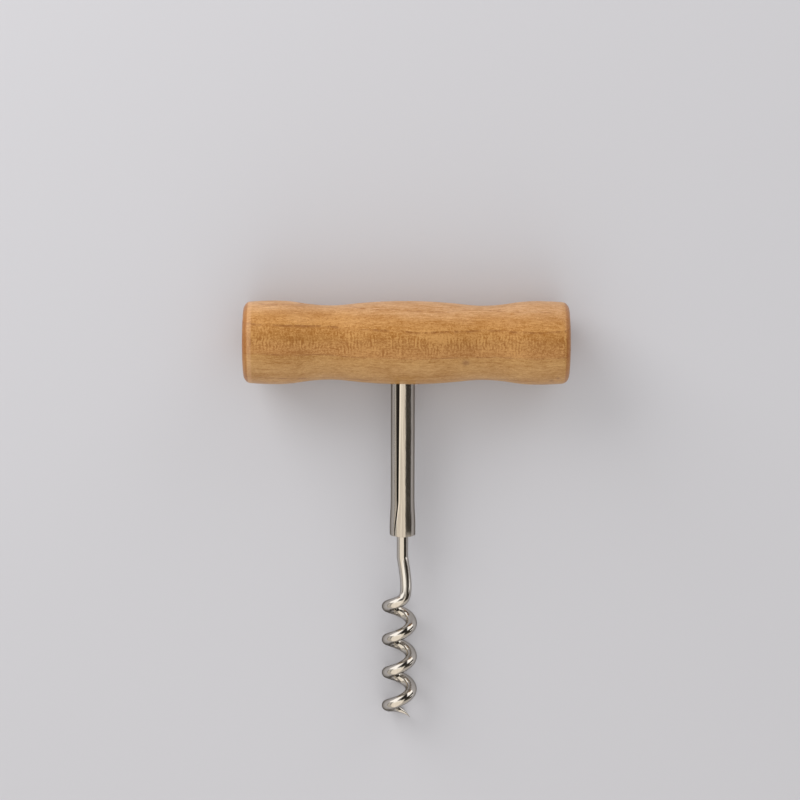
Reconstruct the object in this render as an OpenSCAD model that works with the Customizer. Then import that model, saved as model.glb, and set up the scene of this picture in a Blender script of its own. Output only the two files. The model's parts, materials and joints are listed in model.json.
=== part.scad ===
// T-handle corkscrew, lying at rest on a flat surface. Millimetres, +Z up.
// The handle lies along X and the worm points along -Y.
// Each piece is drawn upright first: the handle's axis passes through the origin, the shank points
// down and the front faces -Y. lay_down() then tips it back until the worm touches the surface.

/* [Handle] */
// Length of the handle
handle_len = 107.5; // [90:0.5:130]
// Diameter at the crest of the swell near each end, the thickest part, on which it rests
end_d = 27.7; // [24:0.1:32]
// Depth turned away at the middle, below the swells
middle_depth = 0.05; // [0:0.05:1]
// Depth turned away at each waist, below the swells
waist_depth = 1.55; // [0.5:0.05:3]
// Depth turned away where the rounded edge of each end begins
shoulder_depth = 0.3; // [0:0.05:1.5]
// Distance from the middle to each waist
waist_x = 24.9; // [20:0.1:30]
// Length of the hollow curve on the middle's side of each waist
hollow_in = 5; // [2:0.1:12]
// Length of the hollow curve on the end's side of each waist
hollow_out = 10; // [2:0.1:14]
// Distance from each end face to the crest of its swell
crest_in = 10.8; // [8:0.1:16]
// Radius of the rounded edge of each end
end_edge_r = 2.5; // [1:0.1:5]

/* [Sleeve] */
// Outside diameter of the rolled tube
sleeve_d = 7.9; // [7:0.1:10]
// Thickness of the rolled sheet
sleeve_wall = 0.8; // [0.4:0.05:1.2]
// Length of the tube, with the part that sits in the handle
sleeve_len = 60; // [45:0.5:75]
// Depth of the tube's socket in the handle
socket_depth = 8; // [4:0.1:11]
// Outside diameter at the flared lower end
flare_d = 8.6; // [8:0.05:10]
// Length of the flared stretch
flare_len = 10; // [4:0.1:20]
// Length of the straight rim below the flare
rim_len = 2.5; // [1:0.1:5]
// Radius of the dulled edges of the rim
rim_edge_r = 0.25; // [0.05:0.05:0.35]
// Width of the open seam
seam_gap = 0.45; // [0.1:0.05:1]
// Turn of the seam from the front towards the left
seam_turn = 24; // [0:1:90]
// Distance below the top of the flare at which the seam starts to run sideways
seam_straight = 0.5; // [0.2:0.1:1]
// Sideways run of the seam along the flare
seam_lean = 1; // [0:0.1:2]
// Size of the corners cut off the sheet at the lower end of the seam
seam_corner = 0.7; // [0.1:0.1:1.5]

/* [Worm] */
// Diameter of the wire
wire_d = 3.8; // [3:0.1:5]
// Outside diameter of the coil
worm_od = 11.9; // [10:0.1:14]
// Distance from turn to turn
pitch = 11.8; // [9:0.1:15]
// Turns of the coil, with its point
turns = 3.7; // [2.5:0.1:5]
// Offset of the coil's axis from the shank, towards the left
worm_shift = 1; // [0:0.1:2]
// Length of the ground point, along the wire
point_len = 9; // [5:0.5:14]
// Radius left on the tip of the point
tip_r = 0.12; // [0.05:0.01:0.5]

/* [Shank] */
// Offset of the shank from the middle of the handle, towards the left
shank_shift = 1.1; // [0:0.1:3]
// Length of the shank inside the handle
shank_in = 20; // [15:0.5:24]
// Chamfer on the upper end of the shank
shank_chamfer = 0.4; // [0.1:0.05:0.8]
// Distance across the two fins that are pinched up on the shank and grip the wood
fin_span = 5.2; // [5.1:0.1:7]
// Thickness of a fin
fin_t = 1; // [0.6:0.1:2]
// Length of a fin
fin_len = 6; // [3:0.5:9]
// Distance from the sleeve's lower end to the start of the bend
neck_len = 7.7; // [4:0.1:15]
// Height of the bend between the shank and the coil
bend_h = 14.5; // [12:0.1:20]
// Stiffness of the bend's curve where it leaves the shank
bend_pull_top = 5; // [2:0.5:10]
// Stiffness of the bend's curve where it joins the coil
bend_pull_coil = 10.5; // [6:0.5:14]
// Angle at which the coil starts, from its right side towards its front
coil_start = 80; // [50:1:110]

/* [Fits] */
// Gap all round between the shank and its bore, and between the sleeve and its socket
fit_gap = 0.05; // [0.02:0.01:0.3]
// Spare depth at the blind end of the bore
bore_spare = 0.5; // [0.2:0.1:2]

/* [Hidden] */
$fn = 96;
// Overshoot that carries a cut past a face
cut = 1;

// Steps along each part of a curved outline
swell_steps = 14;
edge_steps = 6;
flare_steps = 8;
// Sides of the wire, and steps along its bend and along one turn
wire_sides = 18;
bend_steps = 18;
turn_steps = 32;

// Handle
end_x = handle_len / 2;
crest_x = end_x - crest_in;
shoulder_x = end_x - end_edge_r;
rest_r = end_d / 2;
middle_r = rest_r - middle_depth;
waist_r = rest_r - waist_depth;
shoulder_r = rest_r - shoulder_depth;

// Heights along the shank, from the handle's axis
underside_z = -middle_r;
socket_z = underside_z + socket_depth;
sleeve_r = sleeve_d / 2;
flare_r = flare_d / 2;
sleeve_end_z = socket_z - sleeve_len;
flare_end_z = sleeve_end_z + rim_len;
flare_top_z = flare_end_z + flare_len;
wire_r = wire_d / 2;
shank_top_z = underside_z + shank_in;
bend_z = sleeve_end_z - neck_len;
coil_z = bend_z - bend_h;
coil_r = (worm_od - wire_d) / 2;
coil_end = coil_start + 360 * turns;
wire_per_degree = norm([coil_r * PI / 180, pitch / 360]);

function mix(a, b, t) = a + (b - a) * t;
function unit(v) = v / norm(v);
function last(list) = list[len(list) - 1];

// Rise from 0 to 1 made of two parabolas that meet at t = share with one slope
function rise(t, share) =
    t < share ? t * t / share : 1 - (1 - t) * (1 - t) / (1 - share);

// Radius of the handle at distance x from its middle
function handle_r(x) =
    x <= waist_x ? mix(waist_r, middle_r, rise(1 - x / waist_x, hollow_in / waist_x))
    : x <= crest_x ? mix(waist_r, rest_r, rise((x - waist_x) / (crest_x - waist_x),
                                              hollow_out / (crest_x - waist_x)))
    : mix(rest_r, shoulder_r, pow((x - crest_x) / (shoulder_x - crest_x), 2));

// Half of the turned outline, as [radius, distance from the middle], from the middle to one end
half_outline = concat(
    [for (i = [0 : swell_steps - 1]) waist_x * i / swell_steps],
    [for (i = [0 : swell_steps - 1]) mix(waist_x, crest_x, i / swell_steps)],
    [for (i = [0 : edge_steps - 1]) mix(crest_x, shoulder_x, i / edge_steps)]);
end_edge = [for (i = [0 : edge_steps]) let (a = 90 * i / edge_steps)
    [shoulder_r - end_edge_r * (1 - cos(a)), shoulder_x + end_edge_r * sin(a)]];
turned = concat([for (x = half_outline) [handle_r(x), x]], end_edge);

// Wire's centre line, in a frame whose Z axis is the shank
function coil_at(a) =
    [coil_r * cos(a) - worm_shift, -coil_r * sin(a), coil_z - pitch * (a - coil_start) / 360];
function coil_heading(a) = unit([-coil_r * sin(a), -coil_r * cos(a), -pitch / (2 * PI)]);
function hermite(p, dp, q, dq, t) =
    p * (2 * t * t * t - 3 * t * t + 1) + dp * (t * t * t - 2 * t * t + t)
    + q * (3 * t * t - 2 * t * t * t) + dq * (t * t * t - t * t);
function bend_at(t) = hermite([0, 0, bend_z], [0, 0, -bend_pull_top],
    coil_at(coil_start), coil_heading(coil_start) * bend_pull_coil, t);

coil_steps = round(turns * turn_steps);
coil_angles = [for (i = [1 : coil_steps]) mix(coil_start, coil_end, i / coil_steps)];
shank_line = [[0, 0, shank_top_z], [0, 0, shank_top_z - shank_chamfer]];
bend_line = [for (i = [0 : bend_steps]) bend_at(i / bend_steps)];
wire_line = concat(shank_line, bend_line, [for (a = coil_angles) coil_at(a)]);

// Radius of the wire at each step: chamfered at the top, ground to a point at the end
function ground_r(a) = max(tip_r, wire_r * min(1, (coil_end - a) * wire_per_degree / point_len));
wire_radii = concat([wire_r - shank_chamfer], [for (i = [0 : bend_steps + 1]) wire_r],
    [for (a = coil_angles) ground_r(a)]);

// A side direction is carried along the wire, so that its rings don't twist
function heading(line, i) = unit(line[min(i + 1, len(line) - 1)] - line[max(i - 1, 0)]);
function carried(side, along) = unit(side - along * (side * along));
function sides_from(line, side, i = 0) =
    let (here = carried(side, heading(line, i)))
    i == len(line) - 1 ? [here] : concat([here], sides_from(line, here, i + 1));
wire_sides_at = sides_from(wire_line, [1, 0, 0]);
function ring(i) =
    let (across = cross(heading(wire_line, i), wire_sides_at[i]))
    [for (j = [0 : wire_sides - 1]) let (a = 360 * j / wire_sides)
        wire_line[i] + wire_radii[i] * (cos(a) * wire_sides_at[i] + sin(a) * across)];
wire_points = [for (i = [0 : len(wire_line) - 1]) each ring(i)];

// Angle at which a point of the wire meets the surface as the corkscrew tips down
function touching(p) = atan2(-p[2], p[1]) - acos(rest_r / norm([p[1], p[2]]));
rest_tilt = min([for (p = wire_points) if (norm([p[1], p[2]]) > rest_r) touching(p)]);
reach_y = min([for (p = wire_points) p[1] * sin(rest_tilt) + p[2] * cos(rest_tilt)]);
rest_y = -(reach_y + rest_r) / 2;

module lay_down() {
    translate([0, rest_y, rest_r]) rotate([rest_tilt - 90, 0, 0]) children();
}

module on_shank() {
    translate([-shank_shift, 0, 0]) children();
}

module turned_body() {
    rotate([0, 90, 0])
        rotate_extrude()
            polygon(concat([[0, -end_x]],
                [for (i = [len(turned) - 1 : -1 : 1]) [turned[i][0], -turned[i][1]]],
                turned, [[0, end_x]]));
}

// The pair of fins on the shank, grown by a gap for the grooves that they bite
module fins(gap) {
    across = fin_span + 2 * gap;
    thick = fin_t + 2 * gap;
    top = shank_top_z - shank_chamfer;
    translate([-across / 2, -thick / 2, top - fin_len]) cube([across, thick, fin_len + gap]);
}

// Blind bore for the shank, grooves for its fins and socket for the sleeve
module handle_bores() {
    bore_r = wire_r + fit_gap;
    bore_top = shank_top_z + bore_spare;
    translate([0, 0, socket_z - cut]) cylinder(r = bore_r, h = bore_top - socket_z + cut);
    translate([0, 0, socket_z - sleeve_len]) cylinder(r = sleeve_r + fit_gap, h = sleeve_len);
    fins(fit_gap);
}

module handle() {
    color([0.80, 0.60, 0.38])
        lay_down()
            difference() {
                turned_body();
                on_shank() handle_bores();
            }
}

// Outside radius of the sleeve along the flare, t running down from 0 to 1
function flared(t) = mix(sleeve_r, flare_r, rise(t, 0.5));
flare = [for (i = [0 : flare_steps]) let (t = i / flare_steps)
    [flared(t), mix(flare_top_z, flare_end_z, t)]];
rim_out = [for (i = [0 : edge_steps]) let (a = 90 * i / edge_steps)
    [flare_r - rim_edge_r * (1 - cos(a)), sleeve_end_z + rim_edge_r * (1 - sin(a))]];
rim_in = [for (i = [edge_steps : -1 : 0]) let (a = 90 * i / edge_steps)
    [flare_r - sleeve_wall + rim_edge_r * (1 - cos(a)), sleeve_end_z + rim_edge_r * (1 - sin(a))]];

module sleeve_tube() {
    rotate_extrude()
        polygon(concat([[sleeve_r, socket_z]], flare, rim_out, rim_in,
            [for (i = [flare_steps : -1 : 0]) [flare[i][0] - sleeve_wall, flare[i][1]]],
            [[sleeve_r - sleeve_wall, socket_z]]));
}

// Slot through the front wall: straight down the tube, then off to one side along the flare.
// It widens where the sheet's two corners are cut off.
module seam() {
    side = seam_gap / 2;
    foot = side + seam_corner + cut;
    lean_z = flare_top_z - seam_straight;
    rotate([90, 0, -seam_turn])
        linear_extrude(height = flare_r + cut)
            polygon([[-side, socket_z + cut], [-side, lean_z],
                [-side - seam_lean, sleeve_end_z + seam_corner], [-foot - seam_lean, sleeve_end_z - cut],
                [foot - seam_lean, sleeve_end_z - cut], [side - seam_lean, sleeve_end_z + seam_corner],
                [side, lean_z], [side, socket_z + cut]]);
}

module sleeve() {
    color([0.78, 0.76, 0.73])
        lay_down()
            on_shank()
                difference() {
                    sleeve_tube();
                    seam();
                }
}

// Wire swept along its centre line, with a flat cap on each end
module wire() {
    n = wire_sides;
    rings = len(wire_line);
    skin = [for (i = [0 : rings - 2], j = [0 : n - 1])
        let (a = i * n + j, b = i * n + (j + 1) % n)
        each [[a, a + n, b + n], [a, b + n, b]]];
    top_cap = [for (j = [0 : n - 1]) j];
    tip_cap = [for (j = [n - 1 : -1 : 0]) (rings - 1) * n + j];
    polyhedron(points = wire_points, faces = concat([top_cap, tip_cap], skin));
}

module worm() {
    color([0.82, 0.81, 0.79])
        lay_down()
            on_shank() {
                wire();
                fins(0);
            }
}

handle();
sleeve();
worm();
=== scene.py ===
import json
import math

import bpy
from mathutils import Matrix, Vector


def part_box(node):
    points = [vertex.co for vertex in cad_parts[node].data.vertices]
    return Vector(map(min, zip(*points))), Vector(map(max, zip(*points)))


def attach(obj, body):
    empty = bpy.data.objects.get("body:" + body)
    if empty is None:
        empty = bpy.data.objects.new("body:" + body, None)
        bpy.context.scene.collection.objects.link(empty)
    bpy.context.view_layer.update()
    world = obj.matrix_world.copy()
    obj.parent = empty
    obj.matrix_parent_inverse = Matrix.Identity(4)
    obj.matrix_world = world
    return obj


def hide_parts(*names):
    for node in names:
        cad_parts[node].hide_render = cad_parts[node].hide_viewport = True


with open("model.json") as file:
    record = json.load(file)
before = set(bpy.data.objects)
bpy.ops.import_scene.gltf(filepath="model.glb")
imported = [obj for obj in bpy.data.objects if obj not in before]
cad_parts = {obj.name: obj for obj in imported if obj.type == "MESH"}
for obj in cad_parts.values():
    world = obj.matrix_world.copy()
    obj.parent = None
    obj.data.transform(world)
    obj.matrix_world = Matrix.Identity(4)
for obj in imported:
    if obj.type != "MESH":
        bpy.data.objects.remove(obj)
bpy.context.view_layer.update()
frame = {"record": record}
bpy.ops.object.select_all(action="DESELECT")

MM = 0.001
MERGE_WITHIN = 0.001 * MM
SMOOTH_BELOW = math.radians(40)

# Places that the frame gives: the handle's axis, and the shank that leans away from it
MOUNTS = {mount["name"]: mount for mount in frame["record"]["mounts"]}
handle_low, handle_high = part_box("handle")
HALF_LEN = (handle_high.x - handle_low.x) / 2
SWELL_R = (handle_high.z - handle_low.z) / 2
HANDLE_AXIS = (handle_low + handle_high) / 2
SHANK_WAY = Vector(MOUNTS["worm"]["axis"])
SHANK_X = MOUNTS["sleeve_grip"]["pos_m"][0]
REST_TILT = math.atan2(-SHANK_WAY.z, -SHANK_WAY.y)

# Each piece is modelled upright, with the handle's axis through the origin, and is then laid down
LAID = Matrix.Translation(HANDLE_AXIS) @ Matrix.Rotation(REST_TILT - math.pi / 2, 4, "X")
SHANK_LAID = LAID @ Matrix.Translation((SHANK_X, 0, 0))

# Handle
MIDDLE_R = SWELL_R - 0.05 * MM
WAIST_R = SWELL_R - 1.55 * MM
SHOULDER_R = SWELL_R - 0.3 * MM
WAIST_X = 24.9 * MM
HOLLOW_IN = 5 * MM
HOLLOW_OUT = 10 * MM
CREST_X = HALF_LEN - 10.8 * MM
END_EDGE_R = 2.5 * MM
SHOULDER_X = HALF_LEN - END_EDGE_R
SOCKET_DEPTH = 8 * MM
SHANK_IN = 20 * MM
BORE_SPARE = 0.5 * MM
FIT_GAP = 0.05 * MM
HANDLE_SIDES = 176
HANDLE_STEPS = 44
END_STEPS = 8
BORE_SIDES = 96

# Sleeve
SLEEVE_R = MOUNTS["sleeve_grip"]["dims"]["r_mm"] * MM
SLEEVE_WALL = 0.8 * MM
SLEEVE_LEN = 60 * MM
FLARE_R = 4.3 * MM
FLARE_LEN = 10 * MM
RIM_LEN = 2.5 * MM
SEAM_GAP = 0.45 * MM
SEAM_TURN = math.radians(24)
SEAM_STRAIGHT = 0.5 * MM
SEAM_LEAN = 1 * MM
SEAM_CORNER = 0.7 * MM
SHEET_EDGE_R = 0.16 * MM
SLEEVE_STEPS = 150
FLARE_STEPS = 12
EDGE_SEGMENTS = 4

# Wire
WIRE_R = 1.9 * MM
COIL_R = MOUNTS["worm"]["dims"]["r_mm"] * MM - WIRE_R
PITCH = 11.8 * MM
TURNS = 3.7
WORM_SHIFT = 1 * MM
POINT_LEN = 9 * MM
TIP_R = 0.12 * MM
SHANK_CHAMFER = 0.4 * MM
FIN_SPAN = 5.2 * MM
FIN_T = 1 * MM
FIN_LEN = 6 * MM
FIN_EDGE_R = 0.2 * MM
NECK_LEN = 7.7 * MM
BEND_H = 14.5 * MM
BEND_PULL_TOP = 5 * MM
BEND_PULL_COIL = 10.5 * MM
COIL_START = math.radians(80)
WIRE_SIDES = 36
BEND_STEPS = 44
TURN_STEPS = 96

# Heights in the upright frame
UNDERSIDE_Z = -MIDDLE_R
SOCKET_Z = UNDERSIDE_Z + SOCKET_DEPTH
SHANK_TOP_Z = UNDERSIDE_Z + SHANK_IN
SLEEVE_END_Z = SOCKET_Z - SLEEVE_LEN
FLARE_END_Z = SLEEVE_END_Z + RIM_LEN
FLARE_TOP_Z = FLARE_END_Z + FLARE_LEN
BEND_Z = SLEEVE_END_Z - NECK_LEN
COIL_Z = BEND_Z - BEND_H
COIL_END = COIL_START + 2 * math.pi * TURNS

# Camera, looking down on the front of the lying corkscrew
CAMERA_AIM = Vector((-2.04 * MM, 0, -19.5 * MM))
CAMERA_FAR = 0.85
CAMERA_RISE = math.radians(13)
CAMERA_ROLL = math.radians(0.12)
CAMERA_LENS = 114.95
SENSOR_WIDTH = 36


def mix(a, b, t):
    """Number that lies from a to b as t goes from 0 to 1."""
    return a + (b - a) * t


def rise(t, share):
    """Rise from 0 to 1 made of two parabolas that meet at t = share with one slope."""
    return t * t / share if t < share else 1 - (1 - t) ** 2 / (1 - share)


# Modelling

def draw_line(name, points):
    """A chain of edges through the points, drawn by extruding one vertex."""
    bpy.ops.mesh.primitive_plane_add(size=MM)
    line = bpy.context.object
    line.name = name
    bpy.ops.object.mode_set(mode="EDIT")
    bpy.ops.mesh.merge(type="CENTER")
    bpy.ops.transform.translate(value=points[0])
    for here, there in zip(points, points[1:]):
        bpy.ops.mesh.extrude_region_move(TRANSFORM_OT_translate={"value": there - here})
    return line


def close_skin(line):
    """Merges what meets in the spun skin and turns its faces outwards."""
    bpy.ops.mesh.select_all(action="SELECT")
    bpy.ops.mesh.remove_doubles(threshold=MERGE_WITHIN)
    bpy.ops.mesh.normals_make_consistent(inside=False)
    bpy.ops.object.mode_set(mode="OBJECT")
    return line


def modify(piece, kind, **settings):
    """Adds a modifier, sets it up and applies it."""
    modifier = piece.modifiers.new(kind.lower(), kind)
    for name, value in settings.items():
        setattr(modifier, name, value)
    bpy.context.view_layer.objects.active = piece
    bpy.ops.object.modifier_apply(modifier=modifier.name)


def finish_piece(piece, laid, node, material):
    """Lays the piece down, leaves its place in its mesh, gives it to its body and hides the CAD node's mesh.
    """
    bpy.ops.object.select_all(action="DESELECT")
    piece.select_set(True)
    bpy.context.view_layer.objects.active = piece
    piece.matrix_world = laid
    bpy.ops.object.transform_apply(location=True, rotation=True, scale=True)
    bpy.ops.object.shade_smooth_by_angle(angle=SMOOTH_BELOW)
    piece.data.materials.clear()
    piece.data.materials.append(material)
    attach(piece, "root")
    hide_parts(node)


def handle_r(x):
    """Radius of the turned handle at distance x from its middle."""
    x = abs(x)
    if x <= WAIST_X:
        return mix(WAIST_R, MIDDLE_R, rise(1 - x / WAIST_X, HOLLOW_IN / WAIST_X))
    if x <= CREST_X:
        span = CREST_X - WAIST_X
        return mix(WAIST_R, SWELL_R, rise((x - WAIST_X) / span, HOLLOW_OUT / span))
    return mix(SWELL_R, SHOULDER_R, ((x - CREST_X) / (SHOULDER_X - CREST_X)) ** 2)


def handle_outline():
    """Half section of the handle, from the middle of one end face to the middle of the other."""
    turned = [SHOULDER_X * i / HANDLE_STEPS for i in range(HANDLE_STEPS)]
    half = [Vector((x, 0, handle_r(x))) for x in turned]
    for i in range(END_STEPS + 1):
        a = math.pi / 2 * i / END_STEPS
        half.append(Vector((SHOULDER_X + END_EDGE_R * math.sin(a), 0,
                            SHOULDER_R - END_EDGE_R * (1 - math.cos(a)))))
    half.append(Vector((HALF_LEN, 0, half[-1].z / 2)))
    half.append(Vector((HALF_LEN, 0, 0)))
    return [Vector((-p.x, 0, p.z)) for p in reversed(half[1:])] + half


def cut_away(piece, cutter):
    """Cuts the cutter's shape out of the piece and removes the cutter."""
    modify(piece, "BOOLEAN", operation="DIFFERENCE", solver="EXACT", object=cutter)
    bpy.data.objects.remove(cutter)


def upright_rod(radius, low, high):
    """Cutter on the shank's axis, between two heights."""
    bpy.ops.mesh.primitive_cylinder_add(vertices=BORE_SIDES, radius=radius, depth=high - low,
                                        location=(SHANK_X, 0, (low + high) / 2))
    return bpy.context.object


def fin_block(gap, x=0):
    """The pair of fins across the shank, grown by a gap."""
    top = SHANK_TOP_Z - SHANK_CHAMFER
    bpy.ops.mesh.primitive_cube_add(size=1, location=(x, 0, top - FIN_LEN / 2),
                                    scale=(FIN_SPAN + 2 * gap, FIN_T + 2 * gap, FIN_LEN))
    bpy.ops.object.transform_apply(location=True, rotation=True, scale=True)
    return bpy.context.object


def turned_handle(material):
    """Spun half section, drilled from below for the sleeve, the shank and its fins."""
    line = draw_line("turned_handle", handle_outline())
    bpy.ops.mesh.select_all(action="SELECT")
    bpy.ops.mesh.spin(steps=HANDLE_SIDES, angle=2 * math.pi, center=(0, 0, 0), axis=(1, 0, 0))
    handle = close_skin(line)
    cut_away(handle, upright_rod(SLEEVE_R + FIT_GAP, SOCKET_Z - SLEEVE_LEN, SOCKET_Z))
    cut_away(handle, upright_rod(WIRE_R + FIT_GAP, SOCKET_Z - MM, SHANK_TOP_Z + BORE_SPARE))
    cut_away(handle, fin_block(FIT_GAP, SHANK_X))
    finish_piece(handle, LAID, "handle", material)


def seam_edge():
    """Edge of the rolled sheet: straight down the tube, then off to one side along the flare."""
    half_gap = SEAM_GAP / 2 / SLEEVE_R
    rows = [(SLEEVE_R, SOCKET_Z, 0), (SLEEVE_R, UNDERSIDE_Z, 0)]
    for i in range(FLARE_STEPS + 1):
        t = i / FLARE_STEPS
        rows.append((mix(SLEEVE_R, FLARE_R, rise(t, 0.5)), mix(FLARE_TOP_Z, FLARE_END_Z, t),
                     SEAM_LEAN * max(0, t - SEAM_STRAIGHT / FLARE_LEN) / SLEEVE_R))
    rows.append((FLARE_R, SLEEVE_END_Z, SEAM_LEAN / SLEEVE_R))
    edge = []
    for radius, z, lean in rows:
        angle = -math.pi / 2 - SEAM_TURN - lean - half_gap
        edge.append(Vector((radius * math.cos(angle), radius * math.sin(angle), z)))
    return edge


def round_corners(sheet):
    """Rounds the sheet's two corners at the lower end of the seam."""
    seam_angle = -math.pi / 2 - SEAM_TURN - SEAM_LEAN / SLEEVE_R
    corner = Vector((FLARE_R * math.cos(seam_angle), FLARE_R * math.sin(seam_angle), SLEEVE_END_Z))
    near = 0.6 * SEAM_GAP
    bpy.ops.object.mode_set(mode="EDIT")
    bpy.ops.mesh.select_mode(type="VERT")
    bpy.ops.mesh.select_all(action="DESELECT")
    bpy.ops.object.mode_set(mode="OBJECT")
    for vertex in sheet.data.vertices:
        vertex.select = (vertex.co - corner).length < near
    bpy.ops.object.mode_set(mode="EDIT")
    bpy.ops.mesh.bevel(offset=SEAM_CORNER, segments=EDGE_SEGMENTS, affect="VERTICES")
    bpy.ops.object.mode_set(mode="OBJECT")


def rolled_sleeve(material):
    """One strip of sheet rolled round the shank: its edge is spun short of a full turn."""
    line = draw_line("rolled_sleeve", seam_edge())
    bpy.ops.mesh.select_all(action="SELECT")
    bpy.ops.mesh.spin(steps=SLEEVE_STEPS, angle=2 * math.pi - SEAM_GAP / SLEEVE_R,
                      center=(0, 0, 0), axis=(0, 0, 1))
    sleeve = close_skin(line)
    round_corners(sleeve)
    modify(sleeve, "SOLIDIFY", thickness=SLEEVE_WALL, offset=-1, use_even_offset=True)
    modify(sleeve, "BEVEL", width=SHEET_EDGE_R, segments=EDGE_SEGMENTS, limit_method="ANGLE",
           angle_limit=math.radians(50))
    finish_piece(sleeve, SHANK_LAID, "sleeve", material)


def coil_at(a):
    """Middle of the wire on the right-hand coil, at an angle round it."""
    return Vector((COIL_R * math.cos(a) - WORM_SHIFT, -COIL_R * math.sin(a),
                   COIL_Z - PITCH * (a - COIL_START) / (2 * math.pi)))


def bend_at(t):
    """Smooth bend from the shank to the start of the coil."""
    start = Vector((0, 0, BEND_Z))
    leave = Vector((0, 0, -BEND_PULL_TOP))
    end = coil_at(COIL_START)
    heading = Vector((-COIL_R * math.sin(COIL_START), -COIL_R * math.cos(COIL_START),
                      -PITCH / (2 * math.pi))).normalized() * BEND_PULL_COIL
    return (start * (2 * t ** 3 - 3 * t ** 2 + 1) + leave * (t ** 3 - 2 * t ** 2 + t)
            + end * (3 * t ** 2 - 2 * t ** 3) + heading * (t ** 3 - t ** 2))


def wire_path():
    """Points along the middle of the wire, each with the wire's radius there."""
    path = [(Vector((0, 0, SHANK_TOP_Z)), WIRE_R - SHANK_CHAMFER),
            (Vector((0, 0, SHANK_TOP_Z - SHANK_CHAMFER)), WIRE_R)]
    path += [(bend_at(i / BEND_STEPS), WIRE_R) for i in range(BEND_STEPS + 1)]
    steps = round(TURNS * TURN_STEPS)
    wire_per_radian = math.hypot(COIL_R, PITCH / (2 * math.pi))
    for i in range(1, steps + 1):
        a = mix(COIL_START, COIL_END, i / steps)
        ground = (COIL_END - a) * wire_per_radian / POINT_LEN
        path.append((coil_at(a), max(TIP_R, WIRE_R * min(1, ground))))
    return path


def coiled_wire(material):
    """Wire drawn along its path, thinner towards the ground point, with the fins pressed on its top."""
    path = wire_path()
    wire = draw_line("coiled_wire", [point for point, _ in path])
    bpy.ops.object.mode_set(mode="OBJECT")
    bpy.ops.object.convert(target="CURVE")
    curve = wire.data
    curve.dimensions = "3D"
    curve.bevel_depth = WIRE_R
    curve.bevel_resolution = WIRE_SIDES // 2 - 2  # Blender makes 2 * (this + 2) sides
    curve.use_fill_caps = True
    points = curve.splines[0].points
    radii = [radius for _, radius in path]
    if points[0].co.z < points[-1].co.z:
        radii.reverse()
    for point, radius in zip(points, radii):
        point.radius = radius / WIRE_R
    bpy.ops.object.convert(target="MESH")
    wire = bpy.context.object
    fins = fin_block(0)
    modify(fins, "BEVEL", width=FIN_EDGE_R, segments=2)
    bpy.ops.object.select_all(action="DESELECT")
    fins.select_set(True)
    wire.select_set(True)
    bpy.context.view_layer.objects.active = wire
    bpy.ops.object.join()
    finish_piece(wire, SHANK_LAID, "worm", material)


# Materials

def place(tree, kind, inputs=None, **settings):
    """Adds a node, sets it up and feeds its inputs from sockets or plain values."""
    node = tree.nodes.new("ShaderNode" + kind)
    for name, value in settings.items():
        setattr(node, name, value)
    for key, value in (inputs or {}).items():
        if isinstance(value, bpy.types.NodeSocket):
            tree.links.new(value, node.inputs[key])
        else:
            node.inputs[key].default_value = value
    return node


def math_node(tree, operation, a, b=0.0, c=0.0, clamp=False):
    node = place(tree, "Math", {0: a, 1: b, 2: c}, operation=operation, use_clamp=clamp)
    return node.outputs[0]


def plus(tree, a, b):
    return math_node(tree, "ADD", a, b)


def minus(tree, a, b):
    return math_node(tree, "SUBTRACT", a, b)


def times(tree, a, b):
    return math_node(tree, "MULTIPLY", a, b)


def times_plus(tree, a, b, c, clamp=False):
    return math_node(tree, "MULTIPLY_ADD", a, b, c, clamp)


def add_pattern(tree, value, pattern, depth):
    """Value plus a pattern that averages 0.5, less that average and times a depth."""
    return times_plus(tree, minus(tree, pattern, 0.5), depth, value)


def parts(tree, vector):
    return place(tree, "SeparateXYZ", {0: vector}).outputs


def vector_node(tree, operation, a, b):
    return place(tree, "VectorMath", {0: a, 1: b}, operation=operation).outputs[0]


def length(tree, vector):
    return place(tree, "VectorMath", {0: vector}, operation="LENGTH").outputs["Value"]


def between(tree, value, low, high, to_low=0.0, to_high=1.0):
    """Smooth step of value from low to high, which may run either way."""
    node = place(tree, "MapRange", {"Value": value, "From Min": low, "From Max": high,
                                    "To Min": to_low, "To Max": to_high},
                 interpolation_type="SMOOTHSTEP")
    return node.outputs["Result"]


def straight(tree, value, low, high, to_high=1.0):
    """Straight rise from 0 at low to to_high at high, level beyond both."""
    node = place(tree, "MapRange", {"Value": value, "From Min": low, "From Max": high, "To Max": to_high})
    return node.outputs["Result"]


def colour_mix(tree, share, a, b):
    node = place(tree, "Mix", {0: share, 6: a, 7: b}, data_type="RGBA")
    return node.outputs[2]


def noise(tree, vector, stretch, detail=2.0, roughness=0.5, distortion=0.0):
    """Noise on coordinates in millimetres; stretch gives how many cells a millimetre each way."""
    node = place(tree, "TexNoise", {"Vector": vector_node(tree, "MULTIPLY", vector, stretch), "Scale": 1.0,
                                    "Detail": detail, "Roughness": roughness, "Distortion": distortion})
    return node.outputs["Fac"]


def ramp(tree, share, stops):
    """Colours, or grey levels, at places from 0 to 1."""
    node = place(tree, "ValToRGB", {"Fac": share})
    elements = node.color_ramp.elements
    elements[0].position = stops[0][0]
    elements[1].position = stops[-1][0]
    for position, _ in stops[1:-1]:
        elements.new(position)
    for element, (_, value) in zip(elements, stops):
        element.color = value if isinstance(value, tuple) else (value, value, value, 1)
    return node.outputs[0]


def new_group(name, inputs, outputs):
    """A shader node group with named sockets, each given as its name and kind."""
    group = bpy.data.node_groups.new(name, "ShaderNodeTree")
    for way, sockets in (("INPUT", inputs), ("OUTPUT", outputs)):
        for socket, kind in sockets.items():
            group.interface.new_socket(name=socket, in_out=way, socket_type="NodeSocket" + kind)
    return group, group.nodes.new("NodeGroupInput").outputs, group.nodes.new("NodeGroupOutput").inputs


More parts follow.
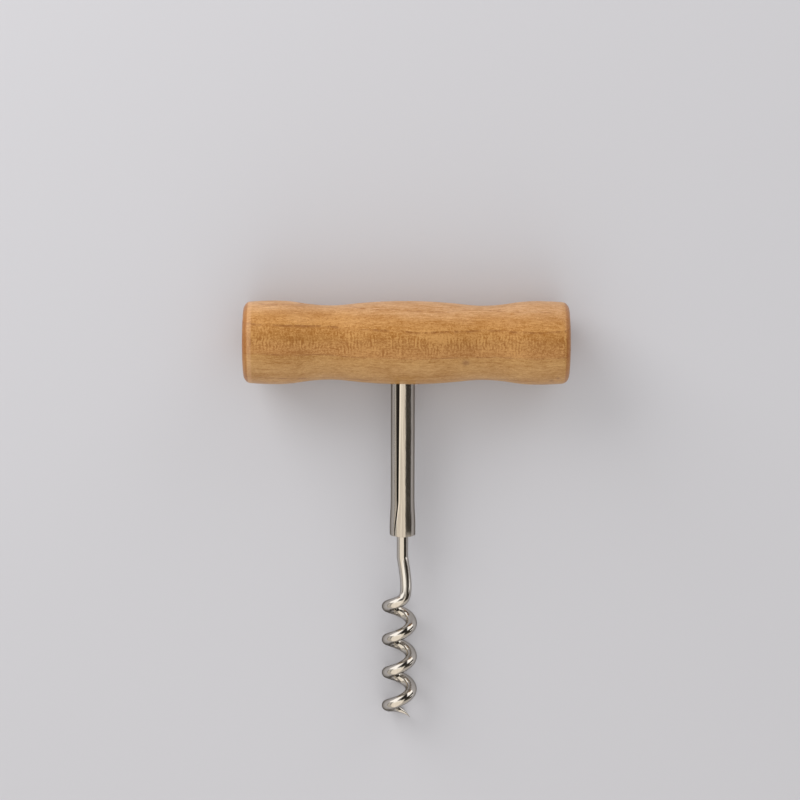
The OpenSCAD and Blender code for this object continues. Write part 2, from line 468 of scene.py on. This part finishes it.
def srgb(red, green, blue):
    """Linear colour, with alpha, of an sRGB colour written from 0 to 255."""
    return tuple((c / 255 / 12.92 if c <= 10 else ((c / 255 + 0.055) / 1.055) ** 2.4)
                 for c in (red, green, blue)) + (1.0,)


def new_material(name, laid, turn=0.0):
    """A material, its Principled shader and its coordinates, in millimetres in the piece's upright frame."""
    material = bpy.data.materials.new(name)
    material.use_nodes = True
    tree = material.node_tree
    shader = tree.nodes["Principled BSDF"]
    own = laid @ Matrix.Rotation(turn, 4, "X")
    coordinates = place(tree, "TexCoord").outputs["Object"]
    mapped = place(tree, "Mapping", {"Vector": coordinates, "Location": own.to_translation(),
                                     "Rotation": own.to_euler(), "Scale": (MM, MM, MM)},
                   vector_type="TEXTURE")
    return material, tree, shader, mapped.outputs[0]


# Wood, in millimetres turned with the grain: x along the handle, y to its back, z away from the worm

GRAIN_TURN = math.radians(-11.7)
PITH_BELOW = 70.0
PITH_BACK = 12.0
BOW_TOP_X = 18.0
LAYER_BOW = 0.00033
TOP_LEVEL = 14.0
HALF_LEN_MM = HALF_LEN / MM


def growth_level(tree, at):
    """Level of a point among the growth layers, which curve about a pith far below and waver."""
    x, y, z = parts(tree, at)
    from_pith = place(tree, "CombineXYZ", {1: minus(tree, y, PITH_BACK), 2: plus(tree, z, PITH_BELOW)})
    level = minus(tree, length(tree, from_pith.outputs[0]), math.hypot(PITH_BELOW, PITH_BACK))
    from_top = minus(tree, x, BOW_TOP_X)
    level = times_plus(tree, times(tree, from_top, from_top), -LAYER_BOW, level)
    level = add_pattern(tree, level, noise(tree, at, (0.03, 0.05, 0.05), detail=1.0), 2.0)
    return add_pattern(tree, level, noise(tree, at, (0.13, 0.2, 0.2)), 1.0)


def by_level(tree, level, *stops):
    """Grey levels or colours from layer to layer, given as (level, value)."""
    share = straight(tree, level, -TOP_LEVEL, TOP_LEVEL)
    return ramp(tree, share, [((stop + TOP_LEVEL) / (2 * TOP_LEVEL), value) for stop, value in stops])


def spots(tree, at, *rounds):
    """Soft round spots in the wood, each given as (centre, reach)."""
    shown = 0.0
    for centre, reach in rounds:
        apart = vector_node(tree, "DIVIDE", vector_node(tree, "SUBTRACT", at, centre), reach)
        shown = math_node(tree, "MAXIMUM", shown, between(tree, length(tree, apart), 1.0, 0.1))
    return shown


def late_wood(tree, at, level):
    """Thin dark late-wood lines, strong in places and lost in others."""
    lines = by_level(tree, level, (-11.4, 0.0), (-11.1, 0.7), (-10.7, 0.0),
                     (-2.1, 0.0), (-1.85, 1.0), (-1.6, 0.0),
                     (6.3, 0.1), (6.75, 0.8), (6.95, 1.0), (7.2, 0.0),
                     (11.7, 0.0), (11.9, 0.7), (12.1, 0.0))
    broken = between(tree, noise(tree, at, (0.16, 0.12, 0.12), detail=3.0), 0.34, 0.54)
    flecks = noise(tree, at, (0.5, 0.3, 0.3), detail=3.0, roughness=0.7)
    dashes = between(tree, flecks, 0.42, 0.54, 0.25, 1.0)
    return times(tree, lines, times(tree, broken, dashes))


def wood_figure(tree, at, level, streaks, pores):
    """Light and dark about 0.5: streaks and pores along the grain, and silky strokes across it in a band."""
    x = parts(tree, at)[0]
    stipple = noise(tree, at, (1.4, 2.0, 2.0), detail=3.0, roughness=0.75, distortion=1.2)
    cloud = noise(tree, at, (0.09, 0.2, 0.2))
    silk = noise(tree, at, (1.25, 0.3, 0.36), roughness=0.6, distortion=1.2)
    ticks_per_mm = 0.95
    phase = times_plus(tree, noise(tree, at, (0.12, 0.3, 0.3), detail=1.0), 12.0,
                       times(tree, x, 2 * math.pi * ticks_per_mm))
    ticks = times_plus(tree, math_node(tree, "SINE", phase), 0.5, 0.5)
    patches = between(tree, noise(tree, at, (0.16, 0.3, 0.3), detail=1.0), 0.35, 0.6)
    band = by_level(tree, level, (-2.0, 0.0), (1.0, 1.0), (5.0, 1.0), (6.8, 0.0))
    silk_in = times(tree, patches, band)
    streak_depth = by_level(tree, level, (-4.0, 1.2), (2.0, 0.6), (6.0, 0.6), (9.0, 1.2), (13.0, 1.7))
    stipple_depth = by_level(tree, level, (-4.0, 1.5), (0.0, 3.4), (6.0, 3.4), (9.0, 2.2), (12.0, 1.4))
    figure = 0.5
    for pattern, depth in ((streaks, streak_depth), (pores, 1.6), (cloud, 0.8), (stipple, stipple_depth),
                           (silk, times(tree, silk_in, 2.8)), (ticks, times(tree, silk_in, 0.5))):
        figure = add_pattern(tree, figure, pattern, depth)

    # Two places in the waists' hollows are painted darker, as shade, and two places between them are paler
    waist_shade = spots(tree, at, ((-33.0, -12.5, -1.5), (10.0, 8.0, 7.0)),
                   ((18.5, -12.5, -1.5), (6.0, 8.0, 5.5)))
    # The two paler places are painted highlights: the lacquer's sheen
    sheen_spots = spots(tree, at, ((-17.0, -13.0, 2.2), (5.0, 5.0, 2.4)),
                   ((12.0, -13.0, 1.4), (9.0, 5.0, 2.2)))
    figure = times_plus(tree, waist_shade, -0.22, figure)
    return times_plus(tree, sheen_spots, 0.3, figure)


def wood_colour(tree, at, level, figure):
    """Colour from layer to layer, darker or paler with the figure, with lines, a knot, a painted highlight
    by the left end, and ends darkened by stain and painted shade.
    """
    # Tones by layer; the paler, greyer tones of the top layers are painted sheen along the handle's top
    tones_and_top_sheen = ((-9.0, srgb(180, 134, 72)), (-2.4, srgb(176, 129, 64)), (-1.4, srgb(173, 121, 58)),
             (3.0, srgb(168, 117, 52)), (7.5, srgb(182, 129, 63)), (9.7, srgb(180, 128, 65)),
             (12.2, srgb(189, 142, 89)))
    tint = by_level(tree, level, *tones_and_top_sheen)
    dark = vector_node(tree, "MULTIPLY", tint, (0.72, 0.58, 0.28))
    pale = vector_node(tree, "MULTIPLY", tint, (1.26, 1.40, 1.95))
    colour = colour_mix(tree, math_node(tree, "MAXIMUM", figure, 0.0, clamp=True), dark, pale)
    colour = colour_mix(tree, times(tree, late_wood(tree, at, level), 0.75), colour, srgb(124, 70, 20))

    # A small pin knot, and two dark nicks near the right end
    knots = spots(tree, at, ((19.5, -11.0, -6.6), (2.0, 3.0, 1.6)), ((47.8, -5.6, -12.2), (1.3, 1.6, 1.2)),
                  ((49.8, -6.8, -11.4), (1.1, 1.4, 1.0)))
    colour = colour_mix(tree, times(tree, knots, 0.55), colour, srgb(124, 78, 40))

    # A pale line where the left end's rounding starts is a painted highlight
    x = parts(tree, at)[0]
    from_left = plus(tree, x, HALF_LEN_MM)
    left_edge_highlight = times(tree, between(tree, from_left, 1.3, 1.8), between(tree, from_left, 3.3, 2.6))
    colour = colour_mix(tree, times(tree, left_edge_highlight, 0.3), colour, srgb(215, 168, 128))
    # The end grain takes up more stain, and the darkened ends also paint the shade on the rounded end edges
    end = between(tree, math_node(tree, "ABSOLUTE", x), HALF_LEN_MM - 1.8, HALF_LEN_MM - 1.3)
    return colour_mix(tree, times(tree, end, 0.55), colour, srgb(146, 86, 34))


def wood_material():
    """Pale hardwood under satin lacquer."""
    material, tree, shader, at = new_material("lacquered wood", LAID, GRAIN_TURN)
    level = growth_level(tree, at)
    streaks = noise(tree, at, (0.05, 1.1, 1.1), detail=5.0, roughness=0.7)
    pores = noise(tree, at, (0.45, 2.4, 2.4), detail=3.0, roughness=0.65)
    figure = wood_figure(tree, at, level, streaks, pores)
    tree.links.new(wood_colour(tree, at, level, figure), shader.inputs["Base Color"])

    relief = times_plus(tree, streaks, 0.5, times(tree, pores, 0.5))
    bump = place(tree, "Bump", {"Height": relief, "Strength": 0.12, "Distance": 0.03 * MM})
    tree.links.new(bump.outputs[0], shader.inputs["Normal"])
    tree.links.new(times_plus(tree, streaks, 0.2, 0.36), shader.inputs["Roughness"])
    shader.inputs["Coat Weight"].default_value = 0.3
    shader.inputs["Coat Roughness"].default_value = 0.24
    shader.inputs["IOR"].default_value = 1.42
    return material


# Plated steel, in millimetres in the shank's upright frame

SHEET_LOOK = {"Tint": (0.58, 0.54, 0.488, 1), "Dull": (0.3, 0.27, 0.24, 1),
              "Roughness": 0.13, "Marks": 0.8, "Waves": 6.0}
WIRE_LOOK = {"Tint": (0.62, 0.585, 0.54, 1), "Dull": (0.35, 0.32, 0.28, 1),
             "Roughness": 0.07, "Marks": 0.25, "Waves": 2.0}
# Painted highlight on the seam's right lip
LIP_HIGHLIGHT_TINT = (0.73, 0.685, 0.62, 1)
# Dark for the bare cut edges by the seam, and painted shade in the seam and inside the sleeve
BARE_AND_SHADE_TINT = (0.06, 0.052, 0.044, 1)
BARE_AND_SHADE_AT_TOP = 0.34
SLEEVE_R_MM = SLEEVE_R / MM
FLARE_TOP_MM = FLARE_TOP_Z / MM


def plated_group():
    """Plating drawn over steel: marks along the piece, faint waves and small blemishes."""
    group, given, result = new_group(
        "plated steel",
        {"Vector": "Vector", "Around": "Float", "Tint": "Color", "Dull": "Color", "Roughness": "Float",
         "Marks": "Float", "Waves": "Float"},
        {"Colour": "Color", "Roughness": "Float", "Height": "Float"})
    at = given["Vector"]
    along = times(group, parts(group, at)[2], 0.02)
    line_at = place(group, "CombineXYZ", {0: given["Around"], 1: along}).outputs[0]
    lines = noise(group, line_at, (5.0, 1.0, 1.0), detail=4.0, roughness=0.7)
    drawn = between(group, noise(group, line_at, (1.7, 1.5, 1.0), detail=3.0, roughness=0.7), 0.62, 0.4)
    waves = noise(group, at, (0.35, 0.35, 0.22))
    specks = noise(group, at, (2.2, 2.2, 1.4), detail=3.0, roughness=0.7)
    blemish = between(group, specks, 0.66, 0.78)
    smudge = between(group, noise(group, at, (0.2, 0.2, 0.08), detail=3.0), 0.4, 0.7)

    worn = times_plus(group, drawn, times(group, given["Marks"], 0.45), times(group, blemish, 0.35),
                      clamp=True)
    group.links.new(colour_mix(group, worn, given["Tint"], given["Dull"]), result["Colour"])
    line_depth = times(group, given["Marks"], 0.12)
    rough = times_plus(group, lines, line_depth, given["Roughness"])
    group.links.new(times_plus(group, smudge, 0.04, rough), result["Roughness"])
    height = times_plus(group, waves, given["Waves"], times(group, lines, line_depth))
    height = times_plus(group, specks, times(group, given["Waves"], 0.2), height)
    group.links.new(height, result["Height"])
    return group


def angle_round(tree, at):
    x, y, _ = parts(tree, at)
    return math_node(tree, "ARCTAN2", y, x)


def seam_shade_and_highlight(tree, at):
    """Masks for the sleeve: painted shade with dark bare edges, and a painted highlight on the seam's right
    lip.

    The shade is painted inside, and on a strip each side of the seam that widens upwards and fades in the
    flare; that strip also stands for the bare cut edges.
    """
    x, y, z = parts(tree, at)
    from_axis = length(tree, place(tree, "CombineXYZ", {0: x, 1: y}).outputs[0])
    # The inner surface is painted dark: painted shade inside the sleeve
    inside = between(tree, from_axis, SLEEVE_R_MM - 0.1, SLEEVE_R_MM - 0.25)

    # Distance round the sleeve from the middle of the seam, which leans off along the flare
    lean = straight(tree, z, FLARE_TOP_MM - SEAM_STRAIGHT / MM, FLARE_END_Z / MM, SEAM_LEAN / SLEEVE_R)
    turned = plus(tree, angle_round(tree, at), lean)
    off = times(tree, plus(tree, turned, math.pi / 2 + SEAM_TURN), from_axis)

    # A dark strip each side of the seam, wider towards the top: its bare cut edges, and painted shade in the
    # seam
    strip = straight(tree, z, FLARE_TOP_MM - 1, UNDERSIDE_Z / MM, BARE_AND_SHADE_AT_TOP)
    reach = plus(tree, strip, SEAM_GAP / MM / 2)
    either_side = minus(tree, math_node(tree, "ABSOLUTE", plus(tree, off, 0.07)), reach)
    edge = times(tree, between(tree, either_side, 0.18, 0.08),
                 between(tree, z, FLARE_TOP_MM - 3, FLARE_TOP_MM + 1))
    # Painted highlight on the seam's right lip
    right_side = minus(tree, off, reach)
    lip_highlight = times(tree, between(tree, right_side, 0.0, 0.12), between(tree, right_side, 0.55, 0.3))
    return math_node(tree, "MAXIMUM", inside, edge), lip_highlight


def plated_material(name, group, look, shade_and_highlight=None):
    """Plated steel; the optional seam function makes the masks of painted shade, with bare edges, and of a
    painted highlight.
    """
    material, tree, shader, at = new_material(name, SHANK_LAID)
    around = times(tree, angle_round(tree, at), SLEEVE_R_MM)
    plate = place(tree, "Group", {"Vector": at, "Around": around, **look}, node_tree=group)
    colour = plate.outputs["Colour"]
    if shade_and_highlight:
        # Painted highlight on the seam's right lip, then dark bare edges and painted shade in the seam and
        # inside the sleeve
        bare_and_shade, lip_highlight = shade_and_highlight(tree, at)
        colour = colour_mix(tree, lip_highlight, colour, LIP_HIGHLIGHT_TINT)
        colour = colour_mix(tree, bare_and_shade, colour, BARE_AND_SHADE_TINT)
    tree.links.new(colour, shader.inputs["Base Color"])
    tree.links.new(plate.outputs["Roughness"], shader.inputs["Roughness"])
    bump = place(tree, "Bump", {"Height": plate.outputs["Height"], "Strength": 0.5, "Distance": 0.02 * MM})
    tree.links.new(bump.outputs[0], shader.inputs["Normal"])
    shader.inputs["Metallic"].default_value = 1.0
    shader.inputs["Specular Tint"].default_value = (0.2, 0.19, 0.17, 1)
    return material


# Studio

FLOOR_SIZE = 12
LAMP_FAR = 0.9
LAMP_AIM = Vector((0, 0, -50 * MM))

# Panels that the plating mirrors: (west, east, low, high) in degrees and a colour, later ones in front.
# The degrees are in the upright frame, as seen from the corkscrew: turned from straight in front to the
# side of the handle's right end, and lifted from level to the side of the handle.
ROOM = (0.36, 0.345, 0.32, 1)
PANELS = (
    ((-95, 110, -89, -22), (0.62, 0.58, 0.52, 1)),  # low front
    ((-55, 27, -89, 10), (1.2, 1.11, 0.975, 1)),  # large front panel
    ((27, 111, -22, 28), (0.045, 0.039, 0.032, 1)),  # dark right side
    ((-82, -65, -22, 10), (0.72, 0.685, 0.635, 1)),  # left strip
    ((-12, 38, 20, 80), (0.03, 0.028, 0.026, 1)),  # dark upper front
    ((-97, -28, 17, 75), (1.6, 1.58, 1.54, 1)),  # upper left panel
    ((40, 108, 32, 80), (1.6, 1.58, 1.54, 1)),  # upper right panel
    ((-50, 2, 6, 18), (1.5, 1.46, 1.38, 1)),  # bright strip above the front panel
    ((66, 94, -1, 7), (1.5, 1.48, 1.44, 1)),  # small bright strip on the right
)
PANEL_SOFT = 3.0
EVEN_LIGHT = (0.7, 0.69, 0.68, 1)
BACKDROP = (0.9, 0.9, 0.9, 1)


def make_camera():
    """Camera in front of the upright frame, risen and rolled a little."""
    rot = LAID.to_3x3()
    back = rot @ Vector((0, -math.cos(CAMERA_RISE), math.sin(CAMERA_RISE)))
    up = rot @ Vector((0, math.sin(CAMERA_RISE), math.cos(CAMERA_RISE)))
    up = Matrix.Rotation(CAMERA_ROLL, 3, back) @ up
    right = up.cross(back)
    bpy.ops.object.camera_add(location=LAID @ CAMERA_AIM + back * CAMERA_FAR)
    camera = bpy.context.object
    camera.rotation_euler = Matrix((right, up, back)).transposed().to_euler()
    camera.data.lens = CAMERA_LENS
    camera.data.sensor_width = SENSOR_WIDTH
    bpy.context.scene.camera = camera


def make_floor():
    bpy.ops.mesh.primitive_plane_add(size=FLOOR_SIZE)
    floor = bpy.context.object
    floor.name = "floor"
    material = bpy.data.materials.new("pale floor")
    material.use_nodes = True
    shader = material.node_tree.nodes["Principled BSDF"]
    shader.inputs["Base Color"].default_value = (0.59, 0.587, 0.615, 1)
    shader.inputs["Roughness"].default_value = 0.85
    shader.inputs["Specular IOR Level"].default_value = 0.2
    floor.data.materials.append(material)


def softbox(name, way, side, watts, colour=(1, 1, 1)):
    """Square lamp that shines on the corkscrew from a direction in its upright frame."""
    way = (LAID.to_3x3() @ Vector(way)).normalized()
    bpy.ops.object.light_add(type="AREA", location=LAID @ LAMP_AIM + way * LAMP_FAR)
    lamp = bpy.context.object
    lamp.name = name
    lamp.rotation_euler = way.to_track_quat("Z", "Y").to_euler()
    lamp.data.shape = "SQUARE"
    lamp.data.size = side
    lamp.data.energy = watts
    lamp.data.color = colour
    lamp.visible_glossy = False


def studio_world():
    """White backdrop for the camera, even light for matt surfaces, and panels that plating mirrors."""
    world = bpy.data.worlds.new("studio")
    world.use_nodes = True
    bpy.context.scene.world = world
    tree = world.node_tree
    rot = LAID.to_3x3()
    way = place(tree, "TexCoord").outputs["Generated"]

    def along(axis):
        node = place(tree, "VectorMath", {0: way, 1: rot @ Vector(axis)}, operation="DOT_PRODUCT")
        return node.outputs["Value"]

    across, forward, upward = along((1, 0, 0)), along((0, -1, 0)), along((0, 0, 1))
    turn = math_node(tree, "DEGREES", math_node(tree, "ARCTAN2", across, forward))
    lift = math_node(tree, "DEGREES", math_node(tree, "ARCSINE", upward))

    def soft_range(value, low, high):
        return times(tree, between(tree, value, low - PANEL_SOFT, low + PANEL_SOFT),
                     between(tree, value, high + PANEL_SOFT, high - PANEL_SOFT))

    mirrored = ROOM
    for (west, east, low, high), colour in PANELS:
        mask = times(tree, soft_range(turn, west, east), soft_range(lift, low, high))
        mirrored = colour_mix(tree, mask, mirrored, colour)
    light_path = place(tree, "LightPath").outputs
    seen = colour_mix(tree, light_path["Is Glossy Ray"], EVEN_LIGHT, mirrored)
    seen = colour_mix(tree, light_path["Is Camera Ray"], seen, BACKDROP)
    tree.links.new(seen, tree.nodes["Background"].inputs["Color"])


bpy.context.scene.view_settings.view_transform = "Standard"
make_camera()
make_floor()
studio_world()
softbox("left softbox", (-0.61, -0.35, 0.71), 0.6, 4.6)
softbox("right softbox", (0.55, -0.15, 0.82), 0.5, 1.5)
softbox("low fill", (0.0, -0.6, -0.8), 1.0, 2.1, (1.0, 0.97, 0.92))

plating = plated_group()
turned_handle(wood_material())
rolled_sleeve(plated_material("plated sheet", plating, SHEET_LOOK, seam_shade_and_highlight))
coiled_wire(plated_material("plated wire", plating, WIRE_LOOK))
